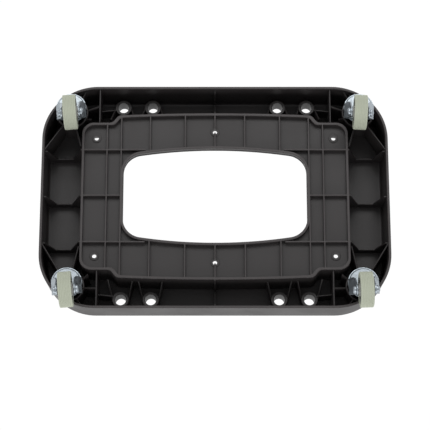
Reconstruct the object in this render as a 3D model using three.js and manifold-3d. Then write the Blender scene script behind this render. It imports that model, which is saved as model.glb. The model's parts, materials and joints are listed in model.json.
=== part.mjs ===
// Rectangular plant pot caddy: one moulded tray with a recessed well, carried by four swivel castors.
// Millimetres, +Z up, standing on the floor at z = 0. The front of the caddy faces -Y.

import * as THREE from 'three';
import { mergeVertices } from 'three/addons/utils/BufferGeometryUtils.js';
import Module from 'manifold-3d';

// ---------------------------------------------------------------- driving dimensions

// Tray skirt, measured at its lower rim
const TRAY_LENGTH = 400;
const TRAY_WIDTH = 267;
const CORNER_RADIUS = 64;
const RIM_Z = 51;
const TOP_Z = 97;
const SKIRT_WALL = 3;
const PLATE_WALL = 3;
const SKIRT_DRAFT = 2;
const EDGE_ROUND = 4;
const INNER_FILLET = 3;

// Recessed well in the middle of the tray, and the opening in its floor
const WELL = { halfLength: 153.9, halfWidth: 88.8, stepIn: 122.4, stepOut: 108.6, stepWidth: 98,
  bowWidth: 100.4, corner: 13 };
const WELL_WALL = 3;
const WELL_FLARE = 2;
const FLOOR_TOP_Z = 60;
const FLOOR_UNDER_Z = 57;
const OPENING = { halfLength: 105.4, halfWidth: 50.6, bowWidth: 56.8, corner: 23 };
const OPENING_WALL = 3;

// Ribs
const RIB = 2;
const PANEL_RIB_X_FULL = [108.3, 124.7];
const PANEL_RIB_X_SHORT = [34.4, 74.9];
const CROSS_RIB_Y = 55.5;
const CORNER_RIB_INNER_X = 80;
const SHALLOW_RIB_Z = 84;
const V_RIB_X = 134;

// Holes
const DRAIN_RADIUS = 2.6;
const DRAIN_RING = { radius: 5.4, height: 0.8 };
const DRAINS = [[137.3, 71.1], [-137.3, 71.1], [137.3, -71.1], [-137.3, -71.1], [0, 78.8], [0, -78.8]];
const TUBE = { x: [73.3, 107.7], y: 117, outer: 9.5, inner: 6.2, lowZ: 77 };
const TUBE_GUSSET = { atTube: 9, atWell: 14, wellZ: 63 };
const TUBE_TIE = { atTube: [116.2, 113.4], atRib: [V_RIB_X, 111.5], lowZ: 75 };

// Castor bosses under the top plate
const CASTOR_X = 167;
const CASTOR_Y = 105;
const BOSS_RING = { outer: 19, inner: 17, lowZ: 61 };
const SOCKET = { outer: 10, bore: 7.3, lowZ: 52.2, endZ: 90 };
const BOSS_RIB_ANGLES = [124, 172, 206, 255, 302];
const BOSS_RIB_LENGTHS = [36, 34, 26, 46, 62];
const BOSS_RIB_RIM_Z = 53;

// Castors
const WHEEL_RADIUS = 20;
const TYRE_WIDTH = 15;
const HUB_HALF = 8.8;
const TRAIL = 15.5;
const AXLE_RADIUS = 3;
const AXLE_HEAD = { inner: 11.3, outer: 15.5, radius: 4.4 };
const LEG = { inner: 9.2, outer: 11, shoulder: 17.2, bendZ: 33, endRadius: 6.5, front: 4, rear: -14 };
const CROWN = { radius: 15.5, underZ: 43.9, topZ: 45.5 };
const CUP = { radius: 17.5, rimZ: 46.2, topZ: 50.4, wall: 1.5, hole: 5.6 };
const RACE = { radius: 10.8, ball: 1.4, z: 47.2 };
const STEM = { radius: 4.8, neck: 5, headRadius: 6.5, headZ: 42.2, flangeRadius: 9, flangeZ: 50.7, topZ: 85 };
const SLEEVE = { outer: 7, inner: 5.1, topZ: 88 };
const GAP = 0.3;

// Each castor as it stands at rest: its place on the tray and the turn of its fork about +Z, in degrees
const CASTORS = [
  { name: 'rear_right', x: CASTOR_X, y: CASTOR_Y, turn: -4.8 },
  { name: 'front_right', x: CASTOR_X, y: -CASTOR_Y, turn: -4.8 },
  { name: 'rear_left', x: -CASTOR_X, y: CASTOR_Y, turn: 3 },
  { name: 'front_left', x: -CASTOR_X, y: -CASTOR_Y, turn: -2 },
];

// The wheels trail past the front of the skirt, so the tray stands back by half of that overhang
const TRAY_Y = (CASTOR_Y + TRAIL + WHEEL_RADIUS - TRAY_WIDTH / 2) / 2;

// Fineness of round shapes
const CORNER_STEPS = 10;
const SMALL_CORNER_STEPS = 4;
const BOW_STEPS = 8;
const FINE = 24;
const ROUND = 18;
const SMALL_ROUND = 12;

// ---------------------------------------------------------------- solids

const wasm = await Module();
wasm.setup();

/** A closed three.js geometry as a manifold solid. */
function solid(geometry) {
  const bare = geometry.clone();
  bare.deleteAttribute('normal');
  bare.deleteAttribute('uv');
  const merged = mergeVertices(bare, 1e-4);
  const index = merged.getIndex().array;
  const kept = [];
  for (let i = 0; i < index.length; i += 3) {
    const [a, b, c] = [index[i], index[i + 1], index[i + 2]];
    if (a !== b && b !== c && a !== c) kept.push(a, b, c);
  }
  const vertProperties = new Float32Array(merged.getAttribute('position').array);
  return new wasm.Manifold(new wasm.Mesh({ numProp: 3, vertProperties, triVerts: new Uint32Array(kept) }));
}

/** A manifold solid as a three.js geometry. */
function geometryOf(body) {
  const mesh = body.getMesh();
  const geometry = new THREE.BufferGeometry();
  geometry.setAttribute('position', new THREE.BufferAttribute(new Float32Array(mesh.vertProperties), 3));
  geometry.setIndex(new THREE.BufferAttribute(new Uint32Array(mesh.triVerts), 1));
  geometry.computeVertexNormals();
  return geometry;
}

/** All the solids in a list, joined. */
function join(solids) {
  return solids.reduce((whole, next) => whole.add(next));
}

/** A solid through a stack of outlines that all have the same number of points. */
function loft(levels) {
  const count = levels[0].outline.length;
  const position = levels.flatMap(({ outline, z }) => outline.flatMap((p) => [p.x, p.y, z]));
  const index = [];
  for (let level = 0; level + 1 < levels.length; level += 1) {
    for (let i = 0; i < count; i += 1) {
      const a = level * count + i;
      const b = level * count + ((i + 1) % count);
      index.push(a, b, b + count, a, b + count, a + count);
    }
  }
  const last = (levels.length - 1) * count;
  for (const [a, b, c] of THREE.ShapeUtils.triangulateShape(levels[0].outline, [])) index.push(a, c, b);
  for (const [a, b, c] of THREE.ShapeUtils.triangulateShape(levels.at(-1).outline, [])) {
    index.push(last + a, last + b, last + c);
  }
  const geometry = new THREE.BufferGeometry();
  geometry.setAttribute('position', new THREE.Float32BufferAttribute(position, 3));
  geometry.setIndex(index);
  return solid(geometry);
}

/** A straight prism on an outline. */
function prism(outline, lowZ, highZ) {
  return loft([{ outline, z: lowZ }, { outline, z: highZ }]);
}

/** An upright round bar. */
function bar(x, y, radius, lowZ, highZ, steps = ROUND) {
  const geometry = new THREE.CylinderGeometry(radius, radius, highZ - lowZ, steps);
  geometry.rotateX(Math.PI / 2);
  geometry.translate(x, y, (lowZ + highZ) / 2);
  return solid(geometry);
}

/** A block between two corners. */
function block(low, high) {
  const geometry = new THREE.BoxGeometry(high[0] - low[0], high[1] - low[1], high[2] - low[2]);
  geometry.translate((low[0] + high[0]) / 2, (low[1] + high[1]) / 2, (low[2] + high[2]) / 2);
  return solid(geometry);
}

/** An upright plate along +X from the origin, with its side view given as (distance, z) points. */
function plate(sideView, thickness) {
  const outline = new THREE.Shape(sideView.map(([x, z]) => new THREE.Vector2(x, z)));
  const geometry = new THREE.ExtrudeGeometry(outline, {
    depth: thickness, bevelEnabled: false,
  });
  geometry.rotateX(Math.PI / 2);
  geometry.translate(0, thickness / 2, 0);
  return geometry;
}

/** A solid of revolution about +Z from (radius, z) points, which close on themselves or end on the axis. */
function turned(profile, steps) {
  const points = profile.map(([r, z]) => new THREE.Vector2(r, z));
  return new THREE.LatheGeometry(points, steps).rotateX(Math.PI / 2);
}

/** Points on an arc, both ends included. */
function arc(cx, cy, radius, from, to, steps) {
  return Array.from({ length: steps + 1 }, (_, i) => {
    const angle = THREE.MathUtils.degToRad(from + ((to - from) * i) / steps);
    return new THREE.Vector2(cx + radius * Math.cos(angle), cy + radius * Math.sin(angle));
  });
}

/** A full outline from its points in the first quadrant, listed from +X round to +Y. */
function mirrored(quarter) {
  const flipX = quarter.map((p) => new THREE.Vector2(-p.x, p.y)).reverse();
  const upper = [...quarter, ...flipX];
  const lower = upper.map((p) => new THREE.Vector2(-p.x, -p.y));
  return [...upper, ...lower];
}

// ---------------------------------------------------------------- outlines

/** The skirt's outline, moved inwards. */
function skirtOutline(inset) {
  const radius = CORNER_RADIUS - inset;
  const x = TRAY_LENGTH / 2 - CORNER_RADIUS;
  const y = TRAY_WIDTH / 2 - CORNER_RADIUS;
  return mirrored(arc(x, y, radius, 0, 90, CORNER_STEPS));
}

/** The well's outline, moved inwards: narrow ends, an S-shaped step and a bowed long side. */
function wellOutline(inset) {
  const length = WELL.halfLength - inset;
  const width = WELL.halfWidth - inset;
  const radius = WELL.corner - inset * 0.5;
  const corner = arc(length - radius, width - radius, radius, 0, 90, SMALL_CORNER_STEPS);
  const step = new THREE.CubicBezierCurve(
    new THREE.Vector2(WELL.stepIn - inset, width),
    new THREE.Vector2((WELL.stepIn + WELL.stepOut) / 2 - inset, width),
    new THREE.Vector2((WELL.stepIn + WELL.stepOut) / 2 - inset, WELL.stepWidth - inset),
    new THREE.Vector2(WELL.stepOut - inset, WELL.stepWidth - inset),
  ).getPoints(SMALL_CORNER_STEPS);
  const bow = [];
  for (let i = 1; i < BOW_STEPS / 2; i += 1) {
    const share = 1 - (2 * i) / BOW_STEPS;
    const rise = (WELL.bowWidth - WELL.stepWidth) * (1 - share * share);
    bow.push(new THREE.Vector2((WELL.stepOut - inset) * share, WELL.stepWidth + rise - inset));
  }
  return mirrored([...corner, ...step, ...bow]);
}

/** The opening's outline, moved outwards: bowed long sides and round corners. */
function openingOutline(outset) {
  const length = OPENING.halfLength + outset;
  const radius = OPENING.corner + outset;
  const width = OPENING.halfWidth + outset;
  const corner = arc(length - radius, width - radius, radius, 0, 84, 2 * SMALL_CORNER_STEPS);
  const start = corner.at(-1);
  const bow = [];
  for (let i = 1; i < BOW_STEPS / 2; i += 1) {
    const share = 1 - (2 * i) / BOW_STEPS;
    const rise = (OPENING.bowWidth + outset - start.y) * (1 - share * share);
    bow.push(new THREE.Vector2(start.x * share, start.y + rise));
  }
  return mirrored([...corner, ...bow]);
}

// ---------------------------------------------------------------- tray

/** The same block in all four quadrants or, where it lies on an axis, on both sides of it. */
function onEachSide(low, high) {
  const sides = [];
  for (const sx of [1, -1]) {
    for (const sy of [1, -1]) {
      sides.push(block(
        [Math.min(sx * low[0], sx * high[0]), Math.min(sy * low[1], sy * high[1]), low[2]],
        [Math.max(sx * low[0], sx * high[0]), Math.max(sy * low[1], sy * high[1]), high[2]],
      ));
    }
  }
  return join(sides);
}

/** Skirt and top plate: a drafted shell with a rounded top edge, open underneath. */
function makeShell() {
  const levels = [{ outline: skirtOutline(0), z: RIM_Z }];
  for (const angle of [0, 45, 90]) {
    const turn = THREE.MathUtils.degToRad(angle);
    const inset = SKIRT_DRAFT + EDGE_ROUND * (1 - Math.cos(turn));
    levels.push({ outline: skirtOutline(inset), z: TOP_Z - EDGE_ROUND * (1 - Math.sin(turn)) });
  }
  const underZ = TOP_Z - PLATE_WALL;
  const cavity = loft([
    { outline: skirtOutline(SKIRT_WALL), z: RIM_Z - 1 },
    { outline: skirtOutline(SKIRT_WALL + SKIRT_DRAFT), z: underZ - INNER_FILLET },
    { outline: skirtOutline(SKIRT_WALL + SKIRT_DRAFT + INNER_FILLET), z: underZ },
  ]);
  return loft(levels).subtract(cavity);
}

/** One notched rib across a channel: full depth at both walls, shallow between. */
function notchedRib(from, to, wallRun) {
  const side = [
    [from, RIM_Z + GAP], [from + 2, RIM_Z + GAP],
    [from + wallRun, SHALLOW_RIB_Z], [to - wallRun, SHALLOW_RIB_Z],
    [to - 3, RIM_Z + 6], [to, RIM_Z + 5], [to, TOP_Z - 1], [from, TOP_Z - 1],
  ];
  return plate(side, RIB);
}

/** Ribs across the channels between the skirt and the well. */
function makeChannelRibs() {
  const ribs = [];
  const endX = TRAY_LENGTH / 2 - SKIRT_WALL;
  const sideY = TRAY_WIDTH / 2 - SKIRT_WALL;
  for (const turn of [0, Math.PI]) {
    for (const y of [-CROSS_RIB_Y, 0, CROSS_RIB_Y]) {
      const rib = notchedRib(WELL.halfLength - 1, endX, 13);
      ribs.push(solid(rib.rotateZ(turn).translate(0, y, 0)));
    }
    const centre = notchedRib(WELL.bowWidth - 1, sideY, 7);
    ribs.push(solid(centre.rotateZ(turn + Math.PI / 2)));
  }
  ribs.push(onEachSide(
    [V_RIB_X - RIB / 2, WELL.halfWidth - 1, RIM_Z + 2],
    [V_RIB_X + RIB / 2, sideY, TOP_Z - 1],
  ));
  return join(ribs);
}

/** The tubes that pass up through the top plate, each with two gussets to the well's wall. */
function makeTubes() {
  const parts = [];
  for (const sx of [1, -1]) {
    for (const sy of [1, -1]) {
      for (const x of TUBE.x) {
        parts.push(bar(sx * x, sy * TUBE.y, TUBE.outer, TUBE.lowZ, TOP_Z - 1));
        for (const side of [1, -1]) {
          const tubeX = sx * x + side * TUBE_GUSSET.atTube;
          const wellX = sx * x + side * TUBE_GUSSET.atWell;
          const wellY = sy * (WELL.stepWidth - 1);
          const run = Math.hypot(tubeX - wellX, sy * TUBE.y - wellY);
          const outline = [[0, TUBE_GUSSET.wellZ], [run, TUBE.lowZ + 1], [run, TOP_Z - 1], [0, TOP_Z - 1]];
          const gusset = plate(outline, RIB);
          gusset.rotateZ(Math.atan2(sy * TUBE.y - wellY, tubeX - wellX));
          parts.push(solid(gusset.translate(wellX, wellY, 0)));
        }
      }
      const [tieX, tieY] = TUBE_TIE.atRib.map((value, i) => value * [sx, sy][i]);
      const [endX, endY] = TUBE_TIE.atTube.map((value, i) => value * [sx, sy][i]);
      const run = Math.hypot(endX - tieX, endY - tieY);
      const tie = plate([[0, TUBE_TIE.lowZ], [run, TUBE_TIE.lowZ], [run, TOP_Z - 1], [0, TOP_Z - 1]], RIB);
      parts.push(solid(tie.rotateZ(Math.atan2(endY - tieY, endX - tieX)).translate(tieX, tieY, 0)));
    }
  }
  return join(parts);
}

/** The castor bosses: a thin ring, a socket tube inside it, and ribs out to the walls around. */
function makeBosses() {
  const parts = [];
  for (const { x, y } of CASTORS) {
    const ring = bar(x, y, BOSS_RING.outer, BOSS_RING.lowZ, TOP_Z - 1, FINE)
      .subtract(bar(x, y, BOSS_RING.inner, BOSS_RING.lowZ - 1, TOP_Z - PLATE_WALL, FINE));
    parts.push(ring);
    BOSS_RIB_ANGLES.forEach((angle, i) => {
      const start = BOSS_RING.inner + 1;
      const end = BOSS_RIB_LENGTHS[i];
      const side = [[start, BOSS_RING.lowZ], [end, BOSS_RIB_RIM_Z], [end, TOP_Z - 1], [start, TOP_Z - 1]];
      const local = THREE.MathUtils.degToRad(angle);
      const direction = Math.atan2(Math.sign(y) * Math.sin(local), Math.sign(x) * Math.cos(local));
      parts.push(solid(plate(side, RIB).rotateZ(direction).translate(x, y, 0)));
    });
    parts.push(bar(x, y, SOCKET.outer, SOCKET.lowZ, TOP_Z - 1));
  }
  return join(parts);
}

/** Ribs under the well's floor, with the wall round the opening. */
function makePanelRibs() {
  const [lowZ, highZ] = [RIM_Z, FLOOR_UNDER_Z + 1];
  const parts = [prism(openingOutline(OPENING_WALL), lowZ, highZ)];
  for (const x of PANEL_RIB_X_FULL) {
    parts.push(onEachSide([x - RIB / 2, 0, lowZ], [x + RIB / 2, WELL.bowWidth, highZ]));
  }
  for (const x of PANEL_RIB_X_SHORT) {
    parts.push(onEachSide([x - RIB / 2, OPENING.halfWidth, lowZ], [x + RIB / 2, WELL.bowWidth, highZ]));
  }
  parts.push(onEachSide([-RIB / 2, OPENING.halfWidth, lowZ], [RIB / 2, WELL.bowWidth, highZ]));
  parts.push(onEachSide([OPENING.halfLength, -RIB / 2, lowZ], [WELL.halfLength, RIB / 2, highZ]));
  parts.push(onEachSide(
    [CORNER_RIB_INNER_X, CROSS_RIB_Y - RIB / 2, lowZ],
    [WELL.halfLength, CROSS_RIB_Y + RIB / 2, highZ],
  ));
  for (const [x, y] of DRAINS) {
    parts.push(bar(x, y, DRAIN_RING.radius, FLOOR_UNDER_Z - DRAIN_RING.height, highZ, SMALL_ROUND));
  }
  return join(parts);
}

/** The whole tray as one moulding. */
function makeTray() {
  const inside = loft([
    { outline: skirtOutline(1), z: RIM_Z },
    { outline: skirtOutline(1 + SKIRT_DRAFT), z: TOP_Z - 1 },
  ]);
  const features = join([makeChannelRibs(), makeTubes(), makeBosses()]).intersect(inside);
  const wellBody = prism(wellOutline(0), RIM_Z, TOP_Z - 1);
  const wellSpace = loft([
    { outline: wellOutline(WELL_WALL + WELL_FLARE / 2), z: FLOOR_TOP_Z },
    { outline: wellOutline(WELL_WALL), z: TOP_Z - WELL_FLARE },
    { outline: wellOutline(WELL_WALL - WELL_FLARE), z: TOP_Z },
    { outline: wellOutline(WELL_WALL - WELL_FLARE), z: TOP_Z + 1 },
  ]);
  const panelSpace = prism(wellOutline(WELL_WALL), RIM_Z - 1, FLOOR_UNDER_Z);
  const panelRibs = makePanelRibs().intersect(prism(wellOutline(1), RIM_Z, FLOOR_UNDER_Z + 1));

  let tray = makeShell().add(wellBody).add(features);
  tray = tray.subtract(wellSpace).subtract(panelSpace).add(panelRibs);
  tray = tray.subtract(prism(openingOutline(0), RIM_Z - 1, FLOOR_TOP_Z + 1));
  const holes = DRAINS.map(([x, y]) => bar(x, y, DRAIN_RADIUS, RIM_Z - 1, FLOOR_TOP_Z + 1, SMALL_ROUND));
  for (const sx of [1, -1]) {
    for (const sy of [1, -1]) {
      for (const x of TUBE.x) holes.push(bar(sx * x, sy * TUBE.y, TUBE.inner, RIM_Z, TOP_Z + 1));
    }
  }
  for (const { x, y } of CASTORS) holes.push(bar(x, y, SOCKET.bore, RIM_Z, SOCKET.endZ));
  return geometryOf(tray.subtract(join(holes)));
}

// ---------------------------------------------------------------- castor pieces, about the swivel axis

/** Grip sleeve pressed into the tray's socket. */
function makeSleeve() {
  const { outer, inner, topZ } = SLEEVE;
  const lowZ = SOCKET.lowZ + GAP;
  return turned([[inner, lowZ], [outer, lowZ], [outer, topZ], [inner, topZ], [inner, lowZ]], SMALL_ROUND);
}

/** Stem with a flange that bears on the socket and a riveted head under the fork. */
function makeStem() {
  const { radius, neck, headRadius, headZ, flangeRadius, flangeZ, topZ } = STEM;
  const headTop = CROWN.underZ - GAP;
  const flangeTop = SOCKET.lowZ - GAP;
  return turned([
    [0, headZ], [headRadius - 1.5, headZ], [headRadius, headZ + 0.7], [headRadius, headTop], [neck, headTop],
    [neck, flangeZ], [flangeRadius, flangeZ], [flangeRadius, flangeTop], [radius, flangeTop],
    [radius, topZ - 2], [radius - 2, topZ], [0, topZ],
  ], SMALL_ROUND);
}

/** Dished cup that holds the ball race from above. */
function makeCup() {
  const { radius, rimZ, topZ, wall, hole } = CUP;
  return turned([
    [hole, topZ - wall], [radius - wall - 1.4, topZ - wall], [radius - wall, topZ - wall - 1.4],
    [radius - wall, rimZ], [radius, rimZ], [radius, topZ - 1.8], [radius - 1.8, topZ], [hole, topZ],
    [hole, topZ - wall],
  ], ROUND);
}

/** Ring of balls between the cup and the fork's crown. */
function makeRace() {
  return turned(arc(RACE.radius, RACE.z, RACE.ball, 0, 360, 6).map((p) => [p.x, p.y]), SMALL_ROUND);
}

/** Pressed steel fork: crown, sloping shoulders and two trailing legs. */
function makeFork() {
  const { inner, outer, shoulder, bendZ, endRadius, front, rear } = LEG;
  const { underZ, topZ } = CROWN;
  const slope = 0.5;
  const lowZ = WHEEL_RADIUS - endRadius - 1;
  const half = [
    [outer, lowZ], [outer, bendZ], [shoulder, underZ], [shoulder, topZ],
    [-shoulder, topZ], [-shoulder, underZ],
    [-outer, bendZ], [-outer, lowZ], [-inner, lowZ], [-inner, bendZ + slope], [-shoulder + 2.2, underZ],
    [shoulder - 2.2, underZ], [inner, bendZ + slope], [inner, lowZ],
  ];
  const section = plate(half, 2 * (WHEEL_RADIUS + TRAIL));
  const lower = arc(-TRAIL, WHEEL_RADIUS, endRadius, 200, 350, 8).map((p) => [p.x, p.y]);
  const upper = [[front, underZ - 7], [front, topZ + 1], [rear, topZ + 1], [rear - 1, underZ - 4]];
  const sideView = [...lower, ...upper];
  const side = plate(sideView, 2 * (CROWN.radius + 1)).rotateZ(Math.PI / 2);
  const bent = solid(section).intersect(solid(side));
  const crown = bar(0, 0, CROWN.radius, underZ, topZ, ROUND);
  const axleHole = new THREE.CylinderGeometry(AXLE_RADIUS + GAP, AXLE_RADIUS + GAP, 40, SMALL_ROUND);
  axleHole.rotateZ(Math.PI / 2).translate(0, -TRAIL, WHEEL_RADIUS);
  return geometryOf(bent.add(crown)
    .subtract(bar(0, 0, CUP.hole, underZ - 1, topZ + 1))
    .subtract(solid(axleHole)));
}

/** Turn a piece made about +Z so that it lies along the axle, at the wheel's centre. */
function onAxle(geometry) {
  return geometry.rotateY(Math.PI / 2).translate(0, -TRAIL, WHEEL_RADIUS);
}

/** Axle pin with a domed head at +X. */
function makeAxle() {
  const { inner, outer, radius } = AXLE_HEAD;
  return onAxle(turned([
    [0, -outer + 2.4], [AXLE_RADIUS, -outer + 2.4], [AXLE_RADIUS, inner], [radius, inner],
    [radius, inner + 1.4], [radius * 0.72, outer - 0.8], [0, outer],
  ], SMALL_ROUND));
}

/** Domed cap closed over the other end of the axle pin, at -X. */
function makeAxleCap() {
  const { inner, outer, radius } = AXLE_HEAD;
  const bore = AXLE_RADIUS + GAP;
  return onAxle(turned([
    [0, -outer], [radius * 0.72, -outer + 0.8], [radius, -inner - 1.4], [radius, -inner], [bore, -inner],
    [bore, -outer + 2.1], [0, -outer + 2.1],
  ], SMALL_ROUND));
}

/** Bush that lines the wheel and turns on the axle. */
function makeBush() {
  const inner = AXLE_RADIUS + GAP;
  const outer = 4.6;
  const lower = [[inner, -HUB_HALF], [outer, -HUB_HALF]];
  const profile = [...lower, [outer, HUB_HALF], [inner, HUB_HALF], [inner, -HUB_HALF]];
  return onAxle(turned(profile, SMALL_ROUND));
}

/** Wheel core: a hub, a thin web and the rim under the tyre. */
function makeCore() {
  const [bore, hub, web, rimIn, rimOut] = [4.9, 7.2, 2.2, 13.4, 15.6];
  const rimHalf = TYRE_WIDTH / 2 - 0.6;
  const hubHalf = HUB_HALF - 0.4;
  return onAxle(turned([
    [bore, -hubHalf], [hub, -hubHalf], [hub, -web], [rimIn, -web], [rimIn, -rimHalf], [rimOut, -rimHalf],
    [rimOut, rimHalf], [rimIn, rimHalf], [rimIn, web], [hub, web], [hub, hubHalf], [bore, hubHalf],
    [bore, -hubHalf],
  ], ROUND));
}

/** Soft tyre on the wheel core, with rounded shoulders. */
function makeTyre() {
  const inner = 15.9;
  const half = TYRE_WIDTH / 2;
  return onAxle(turned([
    [inner, -half], [WHEEL_RADIUS - 1.6, -half], [WHEEL_RADIUS - 0.4, -half + 0.7], [WHEEL_RADIUS, -half + 2],
    [WHEEL_RADIUS, half - 2], [WHEEL_RADIUS - 0.4, half - 0.7], [WHEEL_RADIUS - 1.6, half], [inner, half],
    [inner, -half],
  ], FINE));
}

// ---------------------------------------------------------------- assembly

const FINISHES = {
  tray: { color: 0x3c3a3b, roughness: 0.5, metalness: 0 },
  sleeve: { color: 0x2b2b2c, roughness: 0.55, metalness: 0 },
  zinc: { color: 0xb9bec2, roughness: 0.28, metalness: 1 },
  core: { color: 0x8e918c, roughness: 0.45, metalness: 0 },
  bush: { color: 0xd8d6cf, roughness: 0.4, metalness: 0 },
  tyre: { color: 0xb0b4a4, roughness: 0.6, metalness: 0 },
};

/** A named mesh with a finish of its own. */
function piece(name, geometry, finish) {
  const mesh = new THREE.Mesh(geometry, new THREE.MeshStandardMaterial(FINISHES[finish]));
  mesh.name = name;
  return mesh;
}

const CASTOR_PIECES = [
  ['socket_sleeve', makeSleeve, 'sleeve'],
  ['stem', makeStem, 'zinc'],
  ['swivel_cup', makeCup, 'zinc'],
  ['ball_race', makeRace, 'zinc'],
  ['fork', makeFork, 'zinc'],
  ['axle', makeAxle, 'zinc'],
  ['axle_cap', makeAxleCap, 'zinc'],
  ['bush', makeBush, 'bush'],
  ['wheel_core', makeCore, 'core'],
  ['tyre', makeTyre, 'tyre'],
];

/** One castor as a group of separate pieces, placed on the tray and turned as it stands at rest. */
function makeCastor({ name, x, y, turn }) {
  const castor = new THREE.Group();
  for (const [label, make, finish] of CASTOR_PIECES) castor.add(piece(`${label}_${name}`, make(), finish));
  castor.position.set(x, y, 0);
  castor.rotation.z = THREE.MathUtils.degToRad(turn);
  return castor;
}

const caddy = new THREE.Group();
caddy.add(piece('tray', makeTray(), 'tray'));
for (const castor of CASTORS) caddy.add(makeCastor(castor));
caddy.position.y = TRAY_Y;
caddy.updateMatrixWorld(true);

export default caddy;
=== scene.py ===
"""Looks of a rectangular plant pot caddy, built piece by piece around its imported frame.

Lengths inside the classes are millimetres; objects are made in metres.
"""

import json
import logging
import math
from dataclasses import dataclass, field
from enum import Enum
from typing import Callable, Iterable, Sequence

import bmesh
import bpy
from mathutils import Matrix, Vector


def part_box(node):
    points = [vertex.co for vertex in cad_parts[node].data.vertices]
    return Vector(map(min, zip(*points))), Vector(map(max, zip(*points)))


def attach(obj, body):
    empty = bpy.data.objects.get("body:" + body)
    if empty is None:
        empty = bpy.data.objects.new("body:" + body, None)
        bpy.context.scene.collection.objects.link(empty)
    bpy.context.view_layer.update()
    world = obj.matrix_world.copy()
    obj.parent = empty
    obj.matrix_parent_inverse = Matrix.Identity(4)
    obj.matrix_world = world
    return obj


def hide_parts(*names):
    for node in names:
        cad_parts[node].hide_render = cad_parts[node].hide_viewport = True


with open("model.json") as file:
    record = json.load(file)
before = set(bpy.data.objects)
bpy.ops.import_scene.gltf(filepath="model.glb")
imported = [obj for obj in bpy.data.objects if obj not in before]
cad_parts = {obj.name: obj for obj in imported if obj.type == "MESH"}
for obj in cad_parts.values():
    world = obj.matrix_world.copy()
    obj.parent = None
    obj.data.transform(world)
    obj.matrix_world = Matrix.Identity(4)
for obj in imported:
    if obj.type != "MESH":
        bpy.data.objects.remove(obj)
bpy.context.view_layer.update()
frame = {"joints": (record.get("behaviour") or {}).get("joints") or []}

MM = 0.001
LOG = logging.getLogger("caddy")

Point2 = tuple[float, float]
Point3 = tuple[float, float, float]
Colour = tuple[float, float, float]

SIDES = (1, -1)
CORNERS = tuple((sx, sy) for sx in SIDES for sy in SIDES)
BOW_STEPS = 12
STEP_CHORDS = 8
ON_AXIS = 1e-6
SMOOTH_BELOW = math.radians(32)


# ---- node arithmetic


def _operator(operation: str, swapped: bool = False) -> Callable[["Wire", object], "Wire"]:
    """A method that adds one Math node.

    Args:
        operation: The Math node's operation.
        swapped: Whether the other value comes first.

    Returns:
        The method, which returns the result's wire.
    """
    def method(self: "Wire", other: object) -> "Wire":
        left, right = (other, self) if swapped else (self, other)
        return self.graph.node("ShaderNodeMath", {"operation": operation}, {0: left, 1: right})
    return method


class Wire:
    """An output socket that takes part in arithmetic, so that node maths reads as Python."""

    def __init__(self, graph: "Graph", socket: bpy.types.NodeSocket | None) -> None:
        """Remember the graph and the socket."""
        self.graph = graph
        self.socket = socket

    __add__, __radd__ = _operator("ADD"), _operator("ADD", True)
    __sub__, __rsub__ = _operator("SUBTRACT"), _operator("SUBTRACT", True)
    __mul__, __rmul__ = _operator("MULTIPLY"), _operator("MULTIPLY", True)
    __truediv__, __rtruediv__ = _operator("DIVIDE"), _operator("DIVIDE", True)

    def ramp(self, low: float, high: float) -> "Wire":
        """A smooth 0 to 1 step.

        Args:
            low: Value that gives 0.
            high: Value that gives 1.

        Returns:
            The step's wire.
        """
        settings = {"interpolation_type": "SMOOTHSTEP"}
        return self.graph.node("ShaderNodeMapRange", settings, {0: self, 1: low, 2: high, 3: 0.0, 4: 1.0})


class Graph:
    """A node tree with one way of adding any node."""

    def __init__(self, tree: bpy.types.NodeTree) -> None:
        """Remember the tree."""
        self.tree = tree

    def node(self, kind: str, settings: dict | None = None, inputs: dict | None = None,
             out: int | str = 0) -> Wire:
        """Add a node.

        Args:
            kind: The node's type.
            settings: Its own settings.
            inputs: Value or wire for each input, by name or number.
            out: The output that the wire stands for, by name or number.

        Returns:
            The chosen output's wire.
        """
        made = self.tree.nodes.new(kind)
        for key, value in (settings or {}).items():
            setattr(made, key, value)
        for key, value in (inputs or {}).items():
            if isinstance(value, Wire):
                self.tree.links.new(value.socket, made.inputs[key])
            elif isinstance(value, tuple) and len(value) == 3 and made.inputs[key].type == "RGBA":
                made.inputs[key].default_value = (*value, 1.0)
            else:
                made.inputs[key].default_value = value
        outputs = made.outputs
        return Wire(self, outputs[out]) if len(outputs) else Wire(self, None)

    def mix(self, share: Wire | float, first: Wire | Colour, second: Wire | Colour) -> Wire:
        """Blend two colours.

        Args:
            share: How much of the second, 0 to 1.
            first: First colour.
            second: Second colour.

        Returns:
            The blend's wire.
        """
        return self.node("ShaderNodeMix", {"data_type": "RGBA"}, {0: share, 6: first, 7: second}, out=2)

    def place(self) -> Wire:
        """Object coordinates, in metres."""
        return self.node("ShaderNodeTexCoord", out="Object")

    def noise(self, size: float, detail: float = 2.0, stretch: Point3 = (1, 1, 1)) -> Wire:
        """Noise over the object.

        Args:
            size: Size of a blotch in millimetres.
            detail: Octaves of finer noise.
            stretch: How much finer the noise is along each axis.

        Returns:
            The noise value's wire.
        """
        where = self.node("ShaderNodeMapping", inputs={"Vector": self.place(), "Scale": stretch})
        inputs = {"Vector": where, "Scale": 1 / (size * MM), "Detail": detail}
        return self.node("ShaderNodeTexNoise", inputs=inputs)

    def bump(self, height: Wire, depth: float) -> Wire:
        """Surface relief.

        Args:
            height: Height from 0 to 1.
            depth: Depth of the relief in millimetres.

        Returns:
            The bent normal's wire.
        """
        return self.node("ShaderNodeBump", inputs={"Strength": 1.0, "Distance": depth * MM, "Height": height})


# ---- finishes


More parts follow.
